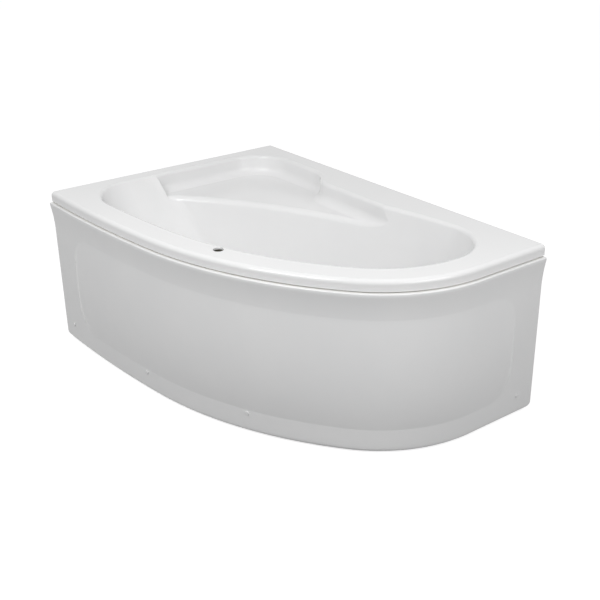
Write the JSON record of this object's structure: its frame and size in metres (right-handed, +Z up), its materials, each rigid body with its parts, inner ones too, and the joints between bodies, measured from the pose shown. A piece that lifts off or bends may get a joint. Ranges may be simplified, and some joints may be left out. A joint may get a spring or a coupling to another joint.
{
  "type": "corner bathtub",
  "caption": "White asymmetric corner bath with a moulded corner seat, a bowed apron panel, adjustable feet, pop-up waste and overflow knob.",
  "frame": {"origin": "centre of the overall plan box at floor level, under the pads of the feet", "axes": "+X along the long wall from the short wall to the nose, +Y towards the long wall, +Z up"},
  "size_m": [1.51, 1.01, 0.595],
  "materials": {
    "tub_acrylic": "glossy white acrylic",
    "panel_acrylic": "glossy white acrylic",
    "floor_board": "raw chipboard",
    "deck_timber": "sawn softwood",
    "frame_steel": "zinc plated",
    "fixing_steel": "bright zinc plated",
    "foot_plastic": "moulded, matt black",
    "cap_plastic": "moulded, glossy white",
    "bright_chrome": "polished chrome",
    "seal_rubber": "matt black",
    "waste_plastic": "moulded, satin white",
    "cable_plastic": "satin black sheath"
  },
  "bodies": {
    "bath": {"bath_shell": "tub_acrylic", "front_panel": "panel_acrylic", "base_board": "floor_board", "batten_back": "deck_timber", "batten_end": "deck_timber", "deck_blocks": "deck_timber", "frame_rails": "frame_steel", "frame_crossbars": "frame_steel", "deck_posts": "frame_steel", "post_plates": "frame_steel", "plate_screws": "fixing_steel", "board_screws": "fixing_steel", "foot_nuts": "fixing_steel", "wall_hooks": "fixing_steel", "panel_arms": "fixing_steel", "panel_clips": "fixing_steel", "panel_screws": "fixing_steel", "screw_caps": "cap_plastic", "drain_flange": "bright_chrome", "drain_guide": "waste_plastic", "drain_gasket": "seal_rubber", "drain_cup": "waste_plastic", "trap_bend": "waste_plastic", "trap_inlet_nut": "waste_plastic", "trap_outlet_nut": "waste_plastic", "outlet_pipe": "waste_plastic", "overflow_ring": "bright_chrome", "overflow_gasket": "seal_rubber", "overflow_elbow": "waste_plastic", "overflow_pipe": "waste_plastic", "overflow_low_nut": "waste_plastic", "overflow_top_nut": "waste_plastic", "pull_cable": "cable_plastic"},
    "foot_1": {"foot_pad_1": "foot_plastic", "foot_rod_1": "fixing_steel"},
    "foot_2": {"foot_pad_2": "foot_plastic", "foot_rod_2": "fixing_steel"},
    "foot_3": {"foot_pad_3": "foot_plastic", "foot_rod_3": "fixing_steel"},
    "foot_4": {"foot_pad_4": "foot_plastic", "foot_rod_4": "fixing_steel"},
    "foot_5": {"foot_pad_5": "foot_plastic", "foot_rod_5": "fixing_steel"},
    "plug": {"pop_up_plug": "bright_chrome", "plug_seal": "seal_rubber"},
    "knob": {"overflow_knob": "bright_chrome"}
  },
  "joints": [
    {"name": "foot_1_height", "type": "slide", "parent": "bath", "child": "foot_1", "axis": [0, 0, 1], "range_m": [-0.015, 0.015]},
    {"name": "foot_2_height", "type": "slide", "parent": "bath", "child": "foot_2", "axis": [0, 0, 1], "range_m": [-0.015, 0.015]},
    {"name": "foot_3_height", "type": "slide", "parent": "bath", "child": "foot_3", "axis": [0, 0, 1], "range_m": [-0.015, 0.015]},
    {"name": "foot_4_height", "type": "slide", "parent": "bath", "child": "foot_4", "axis": [0, 0, 1], "range_m": [-0.015, 0.015]},
    {"name": "foot_5_height", "type": "slide", "parent": "bath", "child": "foot_5", "axis": [0, 0, 1], "range_m": [-0.015, 0.015]},
    {"name": "plug_lift", "type": "slide", "parent": "bath", "child": "plug", "axis": [0, 0, 1], "range_m": [0, 0.009]},
    {"name": "knob_turn", "type": "hinge", "parent": "bath", "child": "knob", "pos_m": [0.2909, -0.20553, 0.515], "axis": [0.4622, -0.8692, -0.1758], "range_deg": [0, 90]}
  ],
  "couplings": [
    {"joint": "plug_lift", "follows": "knob_turn", "m_per_rad": 0.00572}
  ]
}
